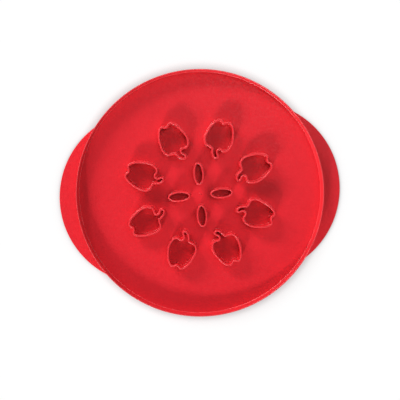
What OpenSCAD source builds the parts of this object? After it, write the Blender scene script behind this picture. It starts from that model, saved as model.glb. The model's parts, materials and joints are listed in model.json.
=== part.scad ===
// Pie-top cutter: a shallow round dish with two crescent grips, an outer cutting rim,
// a ring of apple cutters and a cross of seed cutters standing on its floor.
// Millimetres. +X runs along the grips, +Z points up out of the dish, and z = 0 is the underside.

/* [Cutting rim] */
// Outer diameter of the round cutting rim
rim_d = 254; // [225:1:280]
// Thickness of the rim wall
rim_wall = 1.7; // [1.4:0.1:3]
// Radius of the rounding along the inner top edge of the rim
rim_round = 0.6; // [0.2:0.1:1]
// Height of the rim and of every cutter above the floor
cut_h = 10; // [8:0.5:16]

/* [Floor and grips] */
// Thickness of the floor and of the grips
plate_t = 3; // [2:0.5:4]
// Overall length across both grips
overall_l = 292; // [288:1:300]
// Radius of the outer edge of each grip
grip_r = 91; // [85:1:100]

/* [Apple cutters] */
// Number of apple cutters in the ring
apple_count = 8; // [1:1:8]
// Distance from the centre of the dish to the middle of each apple
apple_ring_r = 62.75; // [61:0.25:66]
// Size of each apple's outline, as a share of its full size
apple_scale = 0.99; // [0.9:0.01:1.01]
// Thickness of the apple cutter walls
apple_wall = 1.8; // [1.2:0.1:1.8]

/* [Seed cutters] */
// Number of seed cutters in the cross
seed_count = 4; // [1:1:4]
// Distance from the centre of the dish to the middle of each seed
seed_ring_r = 21.75; // [20:0.25:24]
// Length of a seed along the middle of its wall
seed_l = 21.5; // [18:0.5:22]
// Width of a seed along the middle of its wall
seed_w = 9; // [7:0.5:10]
// Thickness of the seed cutter walls
seed_wall = 1.6; // [1.2:0.1:1.8]

/* [Gate nub] */
// Diameter of the trimmed moulding gate in the middle of the floor
gate_d = 2.4; // [2:0.1:4]
// Height of the gate nub above the floor
gate_h = 0.5; // [0.3:0.1:1]

/* [Hidden] */
$fn = 96;
plastic = [0.84, 0.10, 0.13];
rim_r = rim_d / 2;
floor_r = rim_r - rim_wall;
total_h = plate_t + cut_h;
grip_x = overall_l / 2 - grip_r;
apple_first_angle = 22.5;
apple_step_angle = 45;
seed_step_angle = 90;
spline_steps = 3;
seed_points = 48;

// Control points of one full-size apple with its stem up, clockwise from the dimple at its base
apple_shape = [
    [-0.5, -13.5], [-3, -15.5], [-6, -17], [-9, -14.5],
    [-11.5, -11], [-13, -6], [-14.5, -1], [-15, 4],
    [-14, 9], [-11.5, 12.5], [-8.5, 13.5], [-5, 12],
    [-2.5, 13], [-2, 17], [-5, 19], [-5, 22],
    [-2, 22.5], [1, 20], [2.5, 16], [3, 13],
    [7, 12.5], [10.5, 12], [13, 9], [14, 4],
    [13, -1], [12, -6], [10, -10.5], [7.5, -14.5],
    [4.5, -17], [2, -15.5]
];

// One point of the closed cubic spline that control points p draw, t of the way along span i
function spline_point(p, i, t) =
    let(
        n = len(p),
        before = p[(i + n - 1) % n],
        here = p[i],
        next = p[(i + 1) % n],
        after = p[(i + 2) % n]
    )
    (pow(1 - t, 3) * before
        + (3 * pow(t, 3) - 6 * t * t + 4) * here
        + (3 * t + 3 * t * t - 3 * pow(t, 3) + 1) * next
        + pow(t, 3) * after) / 6;

function closed_spline(p, steps) =
    [for (i = [0:len(p) - 1], j = [0:steps - 1]) spline_point(p, i, j / steps)];

// Clockwise points round an ellipse of length l along y and width w along x
function ellipse_points(l, w, count) =
    [for (i = [0:count - 1]) [sin(360 * i / count) * w / 2, cos(360 * i / count) * l / 2]];

// Moves each point of the clockwise outline q outward by d, square to the outline
function grown(q, d) =
    [for (i = [0:len(q) - 1])
        let(along = q[(i + 1) % len(q)] - q[(i + len(q) - 1) % len(q)])
        q[i] + d * [-along[1], along[0]] / norm(along)];

// A wall of thickness wall along the middle line q, standing on the floor
module cutter_wall(q, wall) {
    translate([0, 0, plate_t])
        linear_extrude(cut_h)
            difference() {
                polygon(grown(q, wall / 2));
                polygon(grown(q, -wall / 2));
            }
}

// Round floor of the dish, inside the rim
module floor_plate() {
    color(plastic) cylinder(r = floor_r, h = plate_t);
}

// Outer wall, from the underside to the cutting edge, rounded along its inner top edge
module outer_rim() {
    color(plastic)
        rotate_extrude()
            difference() {
                translate([floor_r, 0]) square([rim_wall, total_h]);
                translate([floor_r, total_h - rim_round])
                    difference() {
                        translate([-1, 0]) square([rim_round + 1, rim_round + 1]);
                        translate([rim_round, 0]) circle(rim_round);
                    }
            }
}

// Flat crescent outside the rim, level with the floor; side is 1 on the right and -1 on the left
module grip(side) {
    color(plastic)
        difference() {
            translate([side * grip_x, 0, 0]) cylinder(r = grip_r, h = plate_t);
            translate([0, 0, -1]) cylinder(r = rim_r, h = plate_t + 2);
        }
}

// Apple cutter number k, counted anticlockwise from the right, with its stem to the centre
module apple_cutter(k) {
    if (k <= apple_count)
        color(plastic)
            rotate(apple_first_angle + apple_step_angle * (k - 1) + 90)
                translate([0, -apple_ring_r, 0])
                    cutter_wall(closed_spline(apple_scale * apple_shape, spline_steps), apple_wall);
}

// Seed cutter number k, counted anticlockwise from the right, pointing at the centre
module seed_cutter(k) {
    if (k <= seed_count)
        color(plastic)
            rotate(seed_step_angle * (k - 1) + 90)
                translate([0, -seed_ring_r, 0])
                    cutter_wall(ellipse_points(seed_l, seed_w, seed_points), seed_wall);
}

// Small round nub left where the moulding gate was trimmed
module gate_nub() {
    color(plastic) translate([0, 0, plate_t]) cylinder(d = gate_d, h = gate_h);
}

floor_plate();
outer_rim();
grip(-1);  // grip_left
grip(1);  // grip_right
apple_cutter(1);  // apple_cutter_1
apple_cutter(2);  // apple_cutter_2
apple_cutter(3);  // apple_cutter_3
apple_cutter(4);  // apple_cutter_4
apple_cutter(5);  // apple_cutter_5
apple_cutter(6);  // apple_cutter_6
apple_cutter(7);  // apple_cutter_7
apple_cutter(8);  // apple_cutter_8
seed_cutter(1);  // seed_cutter_1
seed_cutter(2);  // seed_cutter_2
seed_cutter(3);  // seed_cutter_3
seed_cutter(4);  // seed_cutter_4
gate_nub();
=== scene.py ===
"""Looks of the pie-top cutter: one red injection moulding, built piece for piece on the frame.

Everything is in metres, in the frame's own axes: +X along the grips, +Z up out of the dish.
"""

import json
import math

import bmesh
import bpy
import numpy as np
from mathutils import Matrix, Vector


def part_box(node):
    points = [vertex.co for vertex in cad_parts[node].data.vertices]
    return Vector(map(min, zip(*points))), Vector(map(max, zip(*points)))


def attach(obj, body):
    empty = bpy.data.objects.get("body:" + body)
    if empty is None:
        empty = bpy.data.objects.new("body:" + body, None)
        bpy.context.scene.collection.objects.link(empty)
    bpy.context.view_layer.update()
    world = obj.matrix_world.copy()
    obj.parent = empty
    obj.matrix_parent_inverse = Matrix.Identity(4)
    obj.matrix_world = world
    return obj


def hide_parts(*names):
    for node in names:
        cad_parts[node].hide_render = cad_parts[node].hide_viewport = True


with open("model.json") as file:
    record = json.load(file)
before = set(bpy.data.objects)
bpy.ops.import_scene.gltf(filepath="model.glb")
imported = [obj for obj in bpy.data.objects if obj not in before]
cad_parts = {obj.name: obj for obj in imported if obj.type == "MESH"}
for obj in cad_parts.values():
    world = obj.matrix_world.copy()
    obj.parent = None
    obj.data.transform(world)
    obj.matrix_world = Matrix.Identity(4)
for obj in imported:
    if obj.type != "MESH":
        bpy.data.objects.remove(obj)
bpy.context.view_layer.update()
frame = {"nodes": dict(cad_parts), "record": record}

MM = 0.001

# ---------------------------------------------------------------- sizes read from the frame
plate_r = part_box("floor_plate")[1].x
plate_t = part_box("floor_plate")[1].z
rim_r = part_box("outer_rim")[1].y
rim_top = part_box("outer_rim")[1].z
grip_low, grip_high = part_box("grip_right")
nub_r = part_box("gate_nub")[1].x
nub_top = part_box("gate_nub")[1].z

# ---------------------------------------------------------------- details of the moulding
ROUND_STEPS = 5
RIM_SEGMENTS = 288
RIM_INNER_ROUND = 0.4 * MM
RIM_TAPER = 0.36 * MM
RIM_INSET = 0.36 * MM
RIM_OUTER_ROUND = 0.15 * MM
RIM_FILLET = 0.52 * MM
RIM_FOOT_ROUND = 0.5 * MM
WALL_ROUND = 0.65 * MM
WALL_DRAFT = 0.2 * MM
WALL_FILLET = 0.6 * MM
WALL_SMOOTHING = 3
# Share of the room at a tight inner corner that the foot of a cutter wall may fill
WALL_ROOM_SHARE = 0.85
GRIP_TOP_ROUND = 0.9 * MM
GRIP_FOOT_ROUND = 0.5 * MM
GRIP_FILLET = 0.7 * MM
GRIP_STEPS = 160
# Rounds near a grip's pointed ends: their share of the grip's width there, and their least size
GRIP_ROUND_SHARE = 0.45
GRIP_LEAST_ROUND = 0.02 * MM
# How far a grip runs into the rim
GRIP_OVERLAP = 0.5 * MM
# Radius of the small flat in the middle of the floor plate's faces
FLOOR_HUB = 0.3 * MM
NUB_STEPS = 10
NUB_SEGMENTS = 32
# How far the foot of a piece that stands on the floor is sunk into it
SINK = 0.1 * MM
# Edges that turn by more than this many degrees stay sharp
SHARP_ANGLE = 40
# Points and heights closer than this count as the same
SAME = 1e-6


# ---------------------------------------------------------------- mesh helpers
def arc(centre_x, centre_y, radius, start, end, steps=ROUND_STEPS):
    """Points of an arc, angles in degrees."""
    angles = [math.radians(start + (end - start) * i / steps) for i in range(steps + 1)]
    return [(centre_x + radius * math.cos(a), centre_y + radius * math.sin(a)) for a in angles]


def finish_mesh(name, bm):
    """Turns bm into a smooth-shaded object whose flat faces stay flat."""
    bmesh.ops.recalc_face_normals(bm, faces=bm.faces)
    mesh = bpy.data.meshes.new(name)
    bm.to_mesh(mesh)
    bm.free()
    mesh.shade_smooth()
    mesh.set_sharp_from_angle(angle=math.radians(SHARP_ANGLE))
    piece = bpy.data.objects.new("moulded_" + name, mesh)
    bpy.context.scene.collection.objects.link(piece)
    weighted = piece.modifiers.new("flat_faces", "WEIGHTED_NORMAL")
    weighted.keep_sharp = True
    return piece


def loft(name, loops, closed):
    """Joins closed loops of points, one after the other. closed joins the last loop to the first;
    otherwise both ends are capped."""
    bm = bmesh.new()
    rows = [[bm.verts.new(p) for p in loop] for loop in loops]
    pairs = list(zip(rows, rows[1:]))
    if closed:
        pairs.append((rows[-1], rows[0]))
    for low, high in pairs:
        for i in range(len(low)):
            j = (i + 1) % len(low)
            bm.faces.new((low[i], low[j], high[j], high[i]))
    if not closed:
        bm.faces.new(rows[0])
        bm.faces.new(rows[-1])
    return finish_mesh(name, bm)


def lathe(name, profile, closed, segments=RIM_SEGMENTS):
    """Turns a profile of (radius, height) points round the Z axis."""
    turns = [2 * math.pi * i / segments for i in range(segments)]
    loops = [[(r * math.cos(a), r * math.sin(a), z) for a in turns] for r, z in profile]
    return loft(name, loops, closed)


# ---------------------------------------------------------------- outlines read from the frame
def top_outlines(node):
    """The two closed outlines of a CAD cutter's top edge, as arrays of (x, y), outer one first."""
    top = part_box(node)[1].z
    bm = bmesh.new()
    bm.from_mesh(frame["nodes"][node].data)
    bmesh.ops.remove_doubles(bm, verts=bm.verts, dist=SAME)
    beside = {}
    for edge in bm.edges:
        at_top = all(abs(v.co.z - top) < SAME for v in edge.verts)
        has_side = any(abs(f.normal.z) < 0.5 for f in edge.link_faces)
        if at_top and has_side:
            a, b = edge.verts
            beside.setdefault(a, []).append(b)
            beside.setdefault(b, []).append(a)
    outlines = []
    while beside:
        start = min(beside, key=lambda v: v.index)
        loop, here = [start], beside.pop(start)[0]
        while here is not start:
            loop.append(here)
            ahead = [v for v in beside.pop(here) if v in beside or v is start]
            here = next((v for v in ahead if v in beside), start)
        outlines.append(np.array([(v.co.x, v.co.y) for v in loop]))
    bm.free()
    return sorted(outlines, key=lambda p: -abs(signed_area(p)))


def signed_area(p):
    q = np.roll(p, -1, axis=0)
    return 0.5 * float(np.sum(p[:, 0] * q[:, 1] - q[:, 0] * p[:, 1]))


def smoothed(p, steps):
    """A closed Catmull-Rom curve through the points p, steps points for each span."""
    a, b, c, d = (np.roll(p, k, axis=0) for k in (1, 0, -1, -2))
    spans = []
    for i in range(steps):
        t = i / steps
        square = 2 * a - 5 * b + 4 * c - d
        cube = 3 * b - a - 3 * c + d
        spans.append(0.5 * (2 * b + (c - a) * t + square * t * t + cube * t ** 3))
    return np.stack(spans, axis=1).reshape(-1, 2)


def outward(p):
    """Unit normals of the anticlockwise outline p, pointing out of it."""
    along = np.roll(p, -1, axis=0) - np.roll(p, 1, axis=0)
    along /= np.linalg.norm(along, axis=1)[:, None]
    return np.stack([along[:, 1], -along[:, 0]], axis=1)


def clear_radius(p, normal):
    """Radius of the largest circle that touches each point of the outline on its normal's side."""
    nearly_none = 1e-9
    reach = p[None, :, :] - p[:, None, :]
    ahead = np.einsum("ijk,ik->ij", reach, normal)
    square = np.einsum("ijk,ijk->ij", reach, reach)
    circles = square / (2 * np.maximum(ahead, nearly_none))
    radius = np.where(ahead > nearly_none, circles, 1.0)
    return radius.min(axis=1)


def eased(values, width=2):
    """Lowest value within width points on either side, then their running mean."""
    around = [np.roll(values, k) for k in range(-width, width + 1)]
    low = np.min(around, axis=0)
    return np.mean([np.roll(low, k) for k in range(-width, width + 1)], axis=0)


# ---------------------------------------------------------------- the pieces
def wall_profile(half, low, high):
    """Half of a cutter wall's section, from the floor up: (offset from the middle line, height)."""
    foot = half + WALL_DRAFT
    return (
        [(foot + WALL_FILLET, low - SINK)]
        + arc(foot + WALL_FILLET, low + WALL_FILLET, WALL_FILLET, 270, 180)
        + arc(half - WALL_ROUND, high - WALL_ROUND, WALL_ROUND, 0, 90)
    )


def cutter(node):
    """A cutter wall that follows the CAD wall's middle line."""
    outer, inner = top_outlines(node)
    gaps = np.linalg.norm(outer[:, None, :] - inner[None, :, :], axis=2)
    middle = (outer + inner[gaps.argmin(axis=1)]) / 2
    half = float(np.median(gaps.min(axis=1))) / 2
    if signed_area(middle) < 0:
        middle = middle[::-1]
    middle = smoothed(middle, WALL_SMOOTHING)
    normal = outward(middle)
    profile = wall_profile(half, plate_t, rim_top)
    flare = WALL_DRAFT + WALL_FILLET
    sides = []
    for way in (normal, -normal):
        room = (WALL_ROOM_SHARE * clear_radius(middle, way) - half) / flare
        room = eased(np.clip(room, 0, 1))
        side = []
        for offset, z in profile:
            spread = half + (offset - half) * np.where(offset > half, room, 1)
            side.append([(x, y, z) for x, y in middle + way * spread[:, None]])
        sides.append(side)
    return loft(node, sides[0] + sides[1][::-1], closed=True)


def outer_rim():
    """Ring from the underside to the cutting edge; its inner face leans outward to the edge."""
    inner = plate_r + RIM_INSET
    foot = inner - RIM_FILLET
    lip = inner + RIM_TAPER + RIM_INNER_ROUND
    profile = (
        [(rim_r - RIM_FOOT_ROUND, 0), (foot, 0), (foot, plate_t - SINK)]
        + arc(foot, plate_t + RIM_FILLET, RIM_FILLET, 270, 360)
        + arc(lip, rim_top - RIM_INNER_ROUND, RIM_INNER_ROUND, 180, 90)
        + arc(rim_r - RIM_OUTER_ROUND, rim_top - RIM_OUTER_ROUND, RIM_OUTER_ROUND, 90, 0)
        + arc(rim_r - RIM_FOOT_ROUND, RIM_FOOT_ROUND, RIM_FOOT_ROUND, 0, -90)[:-1]
    )
    return lathe("outer_rim", profile, closed=True)


def floor_plate():
    profile = [(FLOOR_HUB, 0), (plate_r, 0), (plate_r, plate_t), (FLOOR_HUB, plate_t)]
    return lathe("floor_plate", profile, closed=False)


def gate_nub():
    """Low dome; its last ring stops short of the top, so that it closes with a small flat."""
    rise = nub_top - plate_t
    profile = [(nub_r, plate_t - SINK)]
    for i in range(NUB_STEPS):
        t = 0.5 * math.pi * i / NUB_STEPS
        profile.append((nub_r * math.cos(t), plate_t + rise * math.sin(t)))
    return lathe("gate_nub", profile, closed=False, segments=NUB_SEGMENTS)


def grip(node, side):
    """Crescent from just inside the rim out to the grip's own arc, rounded along its outer edge."""
    tip_x, tip_y, end_x = grip_low.x, grip_high.y, grip_high.x
    centre = (end_x ** 2 - tip_x ** 2 - tip_y ** 2) / (2 * (end_x - tip_x))
    radius = end_x - centre
    reach = math.atan2(tip_y, tip_x)
    inside = rim_r - GRIP_OVERLAP
    loops = []
    for i in range(GRIP_STEPS + 1):
        turn = reach * math.sin(0.5 * math.pi * (2 * i / GRIP_STEPS - 1))
        across = centre * math.sin(turn)
        edge = centre * math.cos(turn) + math.sqrt(radius ** 2 - across ** 2)
        room = max(edge - rim_r, 0.0)
        most = GRIP_ROUND_SHARE * room + GRIP_LEAST_ROUND
        top_round = min(GRIP_TOP_ROUND, most)
        foot_round = min(GRIP_FOOT_ROUND, most)
        fillet = min(GRIP_FILLET, most)
        section = (
            [(inside, 0), (inside, plate_t + fillet)]
            + arc(rim_r + fillet, plate_t + fillet, fillet, 180, 270)
            + arc(edge - top_round, plate_t - top_round, top_round, 90, 0)
            + arc(edge - foot_round, foot_round, foot_round, 0, -90)
        )
        along, aside = math.cos(turn), math.sin(turn)
        loops.append([(side * r * along, r * aside, z) for r, z in section])
    return loft(node, loops, closed=False)


# ---------------------------------------------------------------- materials
def node_tools(material):
    tree = material.node_tree

    def add(kind, **settings):
        node = tree.nodes.new(kind)
        for key, value in settings.items():
            setattr(node, key, value)
        return node

    def join(a, out, b, into):
        tree.links.new(a.outputs[out], b.inputs[into])

    return tree, add, join


# Lightest and darkest red of a finish
TEXTURED_REDS = ((0.68, 0.0130, 0.0230), (0.63, 0.0115, 0.0205))
# The smooth reds are painted a little lighter than the textured ones. This is painted light that
# makes the smooth wall tops and the rim read brighter.
SMOOTH_REDS_PAINTED_LIGHTER = ((0.69, 0.0130, 0.0230), (0.66, 0.0120, 0.0215))

TEXTURED = {
    "reds": TEXTURED_REDS, "specular": 0.25, "roughness": 0.45, "roughness_spread": 0.13,
    "grain_size": 0.45 * MM, "grain_depth": 0.035 * MM, "mottling": 0.16,
}
SMOOTH = {
    "reds": SMOOTH_REDS_PAINTED_LIGHTER, "specular": 0.62, "roughness": 0.42, "roughness_spread": 0.015,
    "grain_size": 0.9 * MM, "grain_depth": 0.001 * MM, "mottling": 0.2,
}
RIM = {
    **SMOOTH, "specular": 1.0, "roughness": 0.48, "roughness_spread": 0.008,
    "grain_depth": 0.0005 * MM,
}
GATE = {
    **SMOOTH, "specular": 0.6, "roughness": 0.16, "roughness_spread": 0.01,
    "grain_depth": 0.002 * MM,
}
FINISHES = {"red_textured": TEXTURED, "red_smooth": SMOOTH, "red_rim": RIM, "red_gate": GATE}
FINISH_OF_SLOT = {"textured_plastic": "red_textured", "smooth_plastic": "red_smooth"}
FINISH_OF_NODE = {"outer_rim": "red_rim", "gate_nub": "red_gate"}

# Sizes of the patterns that all the finishes share
CLOUD_SIZE = 9 * MM
SPECKLE_SIZE = 2.2 * MM
SPECKLE_SHARE = 0.45
GLINT_SIZE = 2.6 * MM
GLINT_RANGE = (0.38, 0.62)
SWELL_SIZE = 2.8 * MM
# Depth of the swell under the grain, as a multiple of the grain's depth
SWELL_TIMES = 5


def red_plastic(
    name, reds, specular, roughness, roughness_spread, grain_size, grain_depth, mottling
):
    """Moulded red plastic: fine grain in the surface, soft mottling in colour and gloss."""
    material = bpy.data.materials.new(name)
    material.use_nodes = True
    tree, add, join = node_tools(material)
    shader = tree.nodes["Principled BSDF"]
    shader.inputs["IOR"].default_value = 1.5
    shader.inputs["Specular IOR Level"].default_value = specular
    place = add("ShaderNodeTexCoord")

    def noise(size, detail, rough=0.5):
        pattern = add("ShaderNodeTexNoise")
        pattern.inputs["Scale"].default_value = 1 / size
        pattern.inputs["Detail"].default_value = detail
        pattern.inputs["Roughness"].default_value = rough
        join(place, "Object", pattern, "Vector")
        return pattern

    def bump(pattern, depth):
        relief = add("ShaderNodeBump")
        relief.inputs["Strength"].default_value = 1
        relief.inputs["Distance"].default_value = depth
        join(pattern, "Fac", relief, "Height")
        return relief

    blend = add("ShaderNodeMix", data_type="FLOAT")
    blend.inputs["Factor"].default_value = SPECKLE_SHARE
    join(noise(CLOUD_SIZE, 5, 0.6), "Fac", blend, "A")
    join(noise(SPECKLE_SIZE, 3), "Fac", blend, "B")
    colour = add("ShaderNodeValToRGB")
    lightest, darkest = reds
    low, high = colour.color_ramp.elements
    low.position, low.color = 0.5 - mottling, (*darkest, 1)
    high.position, high.color = 0.5 + mottling, (*lightest, 1)
    join(blend, "Result", colour, "Fac")
    join(colour, "Color", shader, "Base Color")

    gloss = add("ShaderNodeMapRange")
    gloss.inputs["From Min"].default_value, gloss.inputs["From Max"].default_value = GLINT_RANGE
    gloss.inputs["To Min"].default_value = roughness - roughness_spread
    gloss.inputs["To Max"].default_value = roughness + roughness_spread
    join(noise(GLINT_SIZE, 3, 0.6), "Fac", gloss, "Value")
    join(gloss, "Result", shader, "Roughness")

    swell = bump(noise(SWELL_SIZE, 2), SWELL_TIMES * grain_depth)
    grain = bump(noise(grain_size, 3, 0.55), grain_depth)
    join(swell, "Normal", grain, "Normal")
    join(grain, "Normal", shader, "Normal")
    return material


# ---------------------------------------------------------------- camera, lights and floor
# The camera looks almost straight down: tilts and roll in degrees, then its place in metres
TILT_X, TILT_Y, ROLL = 4.956, 1.137, 4.650
CAMERA_DISTANCE = 600 * MM
CAMERA_ASIDE = -0.294 * MM
CAMERA_DOWN = -5.902 * MM
LENS = 51.939
SENSOR_WIDTH = 36
CLIP_START = 0.01
CLIP_END = 20

# Soft lamps for the pieces alone, tuned until the picture matched: name, azimuth, elevation and
# size in degrees, distance in metres, strength
PIECE_LAMPS = (
    ("key_front", 240.8, 24, 8, 6, 1.80),
    ("key_front_low", 232, 19, 8, 6, 0.95),
    ("key_back", 120, 26, 13, 2.4, 1.43),
    ("key_back_low", 135, 18, 13, 2.8, 1.28),
    ("fill_front", 300, 25, 16, 6, 0.18),
    ("overhead", 48, 57, 34, 3.2, 0.64),
    ("sheen", 50, 74, 18, 6, 0.31),
)
# Soft light for the white floor alone: name, azimuth, elevation and size in degrees, strength
FLOOR_LIGHT = ("floor_light", 128, 46, 40, 3.1)

# Brightness of the surroundings: sine of the elevation, share of SKY_STRENGTH
SKY = (
    (0, 1), (0.25, 0.95), (0.35, 0.31), (0.65, 0.31),
    (0.75, 0.03), (0.9, 0.05), (0.95, 0.28), (1, 0.28),
)
SKY_STRENGTH = 1.04

# The white floor glows evenly on its own, with a painted contact shadow: the glowing is turned down
# where the object closes it in
FLOOR_HALF = 4.0
FLOOR_GREY = 0.22
FLOOR_CLOSENESS = 12 * MM
FLOOR_OPENNESS = (0.50, 0.97)
FLOOR_GLOW_AND_PAINTED_SHADOW = (0.34, 0.79)


def make_camera():
    data = bpy.data.cameras.new("camera")
    data.lens = LENS
    data.sensor_width = SENSOR_WIDTH
    data.clip_start = CLIP_START
    data.clip_end = CLIP_END
    camera = bpy.data.objects.new("camera", data)
    bpy.context.scene.collection.objects.link(camera)
    view = (
        Matrix.Rotation(math.radians(TILT_X), 4, "X")
        @ Matrix.Rotation(math.radians(TILT_Y), 4, "Y")
        @ Matrix.Rotation(math.radians(ROLL), 4, "Z")
    )
    camera.matrix_world = (
        Matrix.Translation((0, 0, plate_t))
        @ view.inverted()
        @ Matrix.Translation((CAMERA_ASIDE, CAMERA_DOWN, CAMERA_DISTANCE))
    )
    bpy.context.scene.camera = camera


def direction(azimuth, elevation):
    """Unit vector towards a light. Degrees; azimuth is anticlockwise from +X."""
    a, e = math.radians(azimuth), math.radians(elevation)
    return Vector((math.cos(a) * math.cos(e), math.sin(a) * math.cos(e), math.sin(e)))


def soft_lamp(name, azimuth, elevation, size, distance, strength):
    """A round soft lamp. strength is its light on a surface at the dish that faces it."""
    data = bpy.data.lights.new(name, "POINT")
    data.energy = strength * 4 * math.pi * distance ** 2
    data.shadow_soft_size = distance * math.tan(math.radians(size / 2))
    light = bpy.data.objects.new(name, data)
    light.location = distance * direction(azimuth, elevation)
    bpy.context.scene.collection.objects.link(light)
    return light


def soft_sun(name, azimuth, elevation, size, strength):
    """A distant soft light."""
    data = bpy.data.lights.new(name, "SUN")
    data.energy = strength
    data.angle = math.radians(size)
    light = bpy.data.objects.new(name, data)
    light.rotation_euler = direction(azimuth, elevation).to_track_quat("Z", "Y").to_euler()
    bpy.context.scene.collection.objects.link(light)
    return light


def only_light(light, *things):
    """Lets the light fall on nothing but these things."""
    group = bpy.data.collections.new(light.name + "_lights")
    for thing in things:
        group.objects.link(thing)
    light.light_linking.receiver_collection = group


def make_world():
    """White surroundings, brightest near the horizon."""
    world = bpy.data.worlds.new("surroundings")
    bpy.context.scene.world = world
    world.use_nodes = True
    tree = world.node_tree
    back = tree.nodes["Background"]
    where = tree.nodes.new("ShaderNodeTexCoord")
    parts = tree.nodes.new("ShaderNodeSeparateXYZ")
    ramp = tree.nodes.new("ShaderNodeValToRGB")
    stops = ramp.color_ramp.elements
    while len(stops) < len(SKY):
        stops.new(0.5)
    for stop, (height, brightness) in zip(stops, SKY):
        stop.position = height
        stop.color = (brightness, brightness, brightness, 1)
    tree.links.new(where.outputs["Generated"], parts.inputs["Vector"])
    tree.links.new(parts.outputs["Z"], ramp.inputs["Fac"])
    tree.links.new(ramp.outputs["Color"], back.inputs["Color"])
    back.inputs["Strength"].default_value = SKY_STRENGTH


def make_floor():
    corners = [(x * FLOOR_HALF, y * FLOOR_HALF, 0) for x, y in ((-1, -1), (1, -1), (1, 1), (-1, 1))]
    bm = bmesh.new()
    bm.faces.new([bm.verts.new(corner) for corner in corners])
    mesh = bpy.data.meshes.new("floor")
    bm.to_mesh(mesh)
    bm.free()
    floor = bpy.data.objects.new("floor", mesh)
    bpy.context.scene.collection.objects.link(floor)
    material = bpy.data.materials.new("white_sweep")
    material.use_nodes = True
    tree, add, join = node_tools(material)
    shader = tree.nodes["Principled BSDF"]
    shader.inputs["Base Color"].default_value = (FLOOR_GREY, FLOOR_GREY, FLOOR_GREY, 1)
    shader.inputs["Roughness"].default_value = 0.9
    shader.inputs["Specular IOR Level"].default_value = 0.1
    shader.inputs["Emission Color"].default_value = (1, 1, 1, 1)
    # Painted contact shadow: the floor's emission is lowered where the object closes it in
    open_sky = add("ShaderNodeAmbientOcclusion", samples=16)
    open_sky.inputs["Distance"].default_value = FLOOR_CLOSENESS
    glow_and_painted_shadow = add("ShaderNodeMapRange")
    glow_and_painted_shadow.inputs["From Min"].default_value, glow_and_painted_shadow.inputs["From Max"].default_value = FLOOR_OPENNESS
    glow_and_painted_shadow.inputs["To Min"].default_value, glow_and_painted_shadow.inputs["To Max"].default_value = FLOOR_GLOW_AND_PAINTED_SHADOW
    join(open_sky, "AO", glow_and_painted_shadow, "Value")
    join(glow_and_painted_shadow, "Result", shader, "Emission Strength")
    mesh.materials.append(material)
    return floor


# ---------------------------------------------------------------- the scene
bpy.context.scene.view_settings.view_transform = "Standard"
make_camera()
make_world()
floor = make_floor()

finishes = {name: red_plastic(name, **look) for name, look in FINISHES.items()}
pieces = {
    "floor_plate": floor_plate(),
    "outer_rim": outer_rim(),
    "grip_left": grip("grip_left", -1),
    "grip_right": grip("grip_right", 1),
    "gate_nub": gate_nub(),
}
for node in sorted(frame["nodes"]):
    if node.startswith(("apple_cutter_", "seed_cutter_")):
        pieces[node] = cutter(node)

slot_of = {part["node"]: part["material_slot"] for part in frame["record"]["subparts"]}
for node, piece in pieces.items():
    finish = FINISH_OF_NODE.get(node, FINISH_OF_SLOT[slot_of[node]])
    piece.data.materials.append(finishes[finish])
    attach(piece, "root")
    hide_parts(node)

for settings in PIECE_LAMPS:
    only_light(soft_lamp(*settings), *pieces.values())
only_light(soft_sun(*FLOOR_LIGHT), floor)
# The overhead lamp's reflection would draw a bright line along the rim's foot
bpy.data.objects["overhead"].visible_glossy = False
